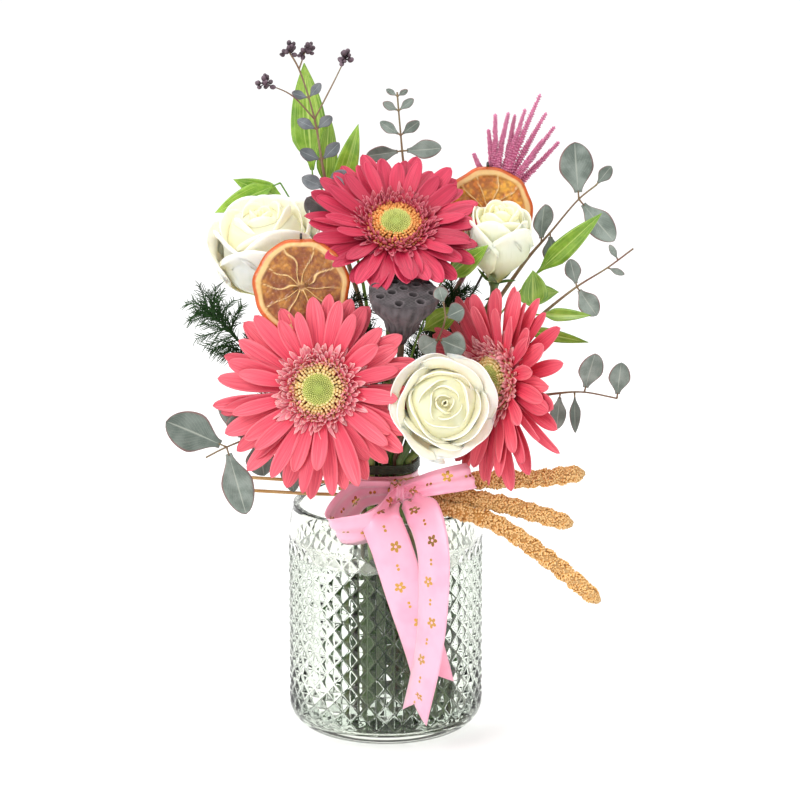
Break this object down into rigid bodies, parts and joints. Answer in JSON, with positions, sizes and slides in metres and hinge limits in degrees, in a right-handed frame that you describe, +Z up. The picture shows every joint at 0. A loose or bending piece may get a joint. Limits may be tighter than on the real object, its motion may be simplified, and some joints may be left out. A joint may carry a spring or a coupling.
{
  "type": "bouquet in glass vase",
  "caption": "Mixed bouquet of gerberas, roses, eucalyptus and dried pieces, tied with a satin ribbon and standing in a round cut-glass vase with water.",
  "frame": {"origin": "middle of the vase's flat base", "axes": "+Z up along the vase, -Y towards the front of the bouquet, +X to the right seen from the front"},
  "size_m": [0.2754, 0.153, 0.4144],
  "materials": {
    "glass": "clear cut glass, gloss",
    "water": "clear",
    "binding": "matte",
    "ribbon": "satin",
    "stem": "satin",
    "calyx": "matte",
    "coral_rays": "satin",
    "pale_rays": "satin",
    "disc": "matte",
    "rose_petals": "satin",
    "rose_heart": "satin",
    "dried_orange": "matte",
    "wire": "matte",
    "lotus_pod": "matte",
    "eucalyptus": "matte",
    "ruscus": "satin",
    "fern": "matte",
    "spikes": "matte",
    "millet": "matte"
  },
  "bodies": {
    "root": {"binding": "binding", "eucalyptus_front": "eucalyptus", "eucalyptus_low_left": "eucalyptus", "eucalyptus_low_right": "eucalyptus", "eucalyptus_middle": "eucalyptus", "eucalyptus_right": "eucalyptus", "eucalyptus_seeded": "eucalyptus", "eucalyptus_twig": "eucalyptus", "fern_left": "fern", "fern_middle": "fern", "fern_right": "fern", "gerbera_front_calyx": "calyx", "gerbera_front_disc": "disc", "gerbera_front_inner_rays": "pale_rays", "gerbera_front_outer_rays": "coral_rays", "gerbera_front_stem": "stem", "gerbera_side_calyx": "calyx", "gerbera_side_disc": "disc", "gerbera_side_inner_rays": "pale_rays", "gerbera_side_outer_rays": "coral_rays", "gerbera_side_stem": "stem", "gerbera_top_calyx": "calyx", "gerbera_top_disc": "disc", "gerbera_top_inner_rays": "pale_rays", "gerbera_top_outer_rays": "coral_rays", "gerbera_top_stem": "stem", "lotus_pod": "lotus_pod", "lotus_stem": "stem", "millet_lower": "millet", "millet_middle": "millet", "millet_upper": "millet", "orange_left_slice": "dried_orange", "orange_left_wire": "wire", "orange_right_slice": "dried_orange", "orange_right_wire": "wire", "pink_spikes": "spikes", "ribbon_knot": "ribbon", "ribbon_loop_left": "ribbon", "ribbon_loop_right": "ribbon", "ribbon_tail_left": "ribbon", "ribbon_tail_right": "ribbon", "ribbon_wrap": "ribbon", "rose_front_bud": "rose_heart", "rose_front_petals": "rose_petals", "rose_front_stem": "stem", "rose_left_bud": "rose_heart", "rose_left_petals": "rose_petals", "rose_left_stem": "stem", "rose_right_bud": "rose_heart", "rose_right_petals": "rose_petals", "rose_right_stem": "stem", "ruscus_left": "ruscus", "ruscus_middle": "ruscus", "ruscus_right": "ruscus", "ruscus_side": "ruscus", "ruscus_upper": "ruscus", "vase": "glass", "water": "water"}
  },
  "joints": []
}
